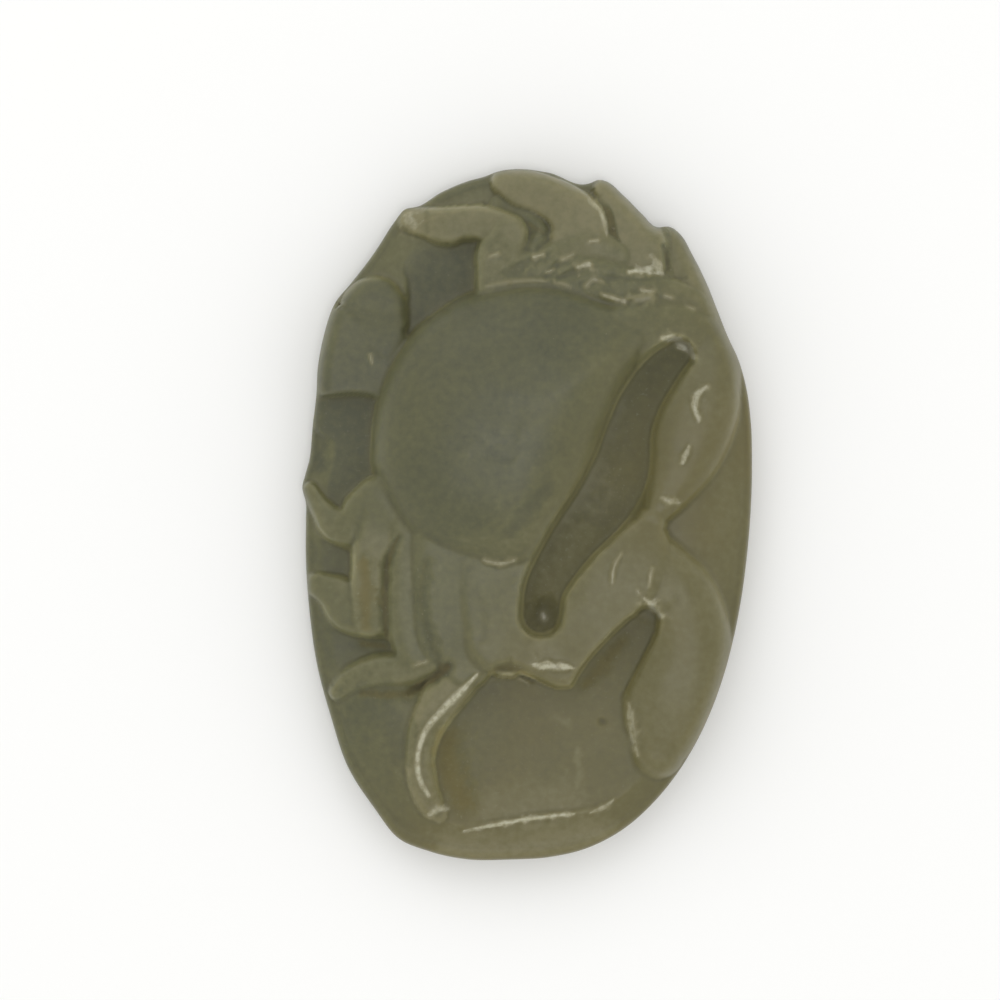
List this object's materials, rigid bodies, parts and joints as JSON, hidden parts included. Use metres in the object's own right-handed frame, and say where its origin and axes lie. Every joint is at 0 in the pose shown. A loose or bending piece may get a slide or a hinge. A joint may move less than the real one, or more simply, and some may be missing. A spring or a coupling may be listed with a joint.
{
  "type": "carved stone crab pendant",
  "caption": "Oval flat-backed stone pendant with a crab carved in relief and a cord hole drilled across its upper end.",
  "frame": {"origin": "middle of the box on the plane of the flat back", "axes": "+Z out of the carved face, +Y towards the end that hangs uppermost, +X to the right of the carved face"},
  "size_m": [0.0354, 0.0541, 0.0104],
  "materials": {
    "stone": "polished"
  },
  "bodies": {
    "root": {"carved_stone": "stone"}
  },
  "joints": []
}
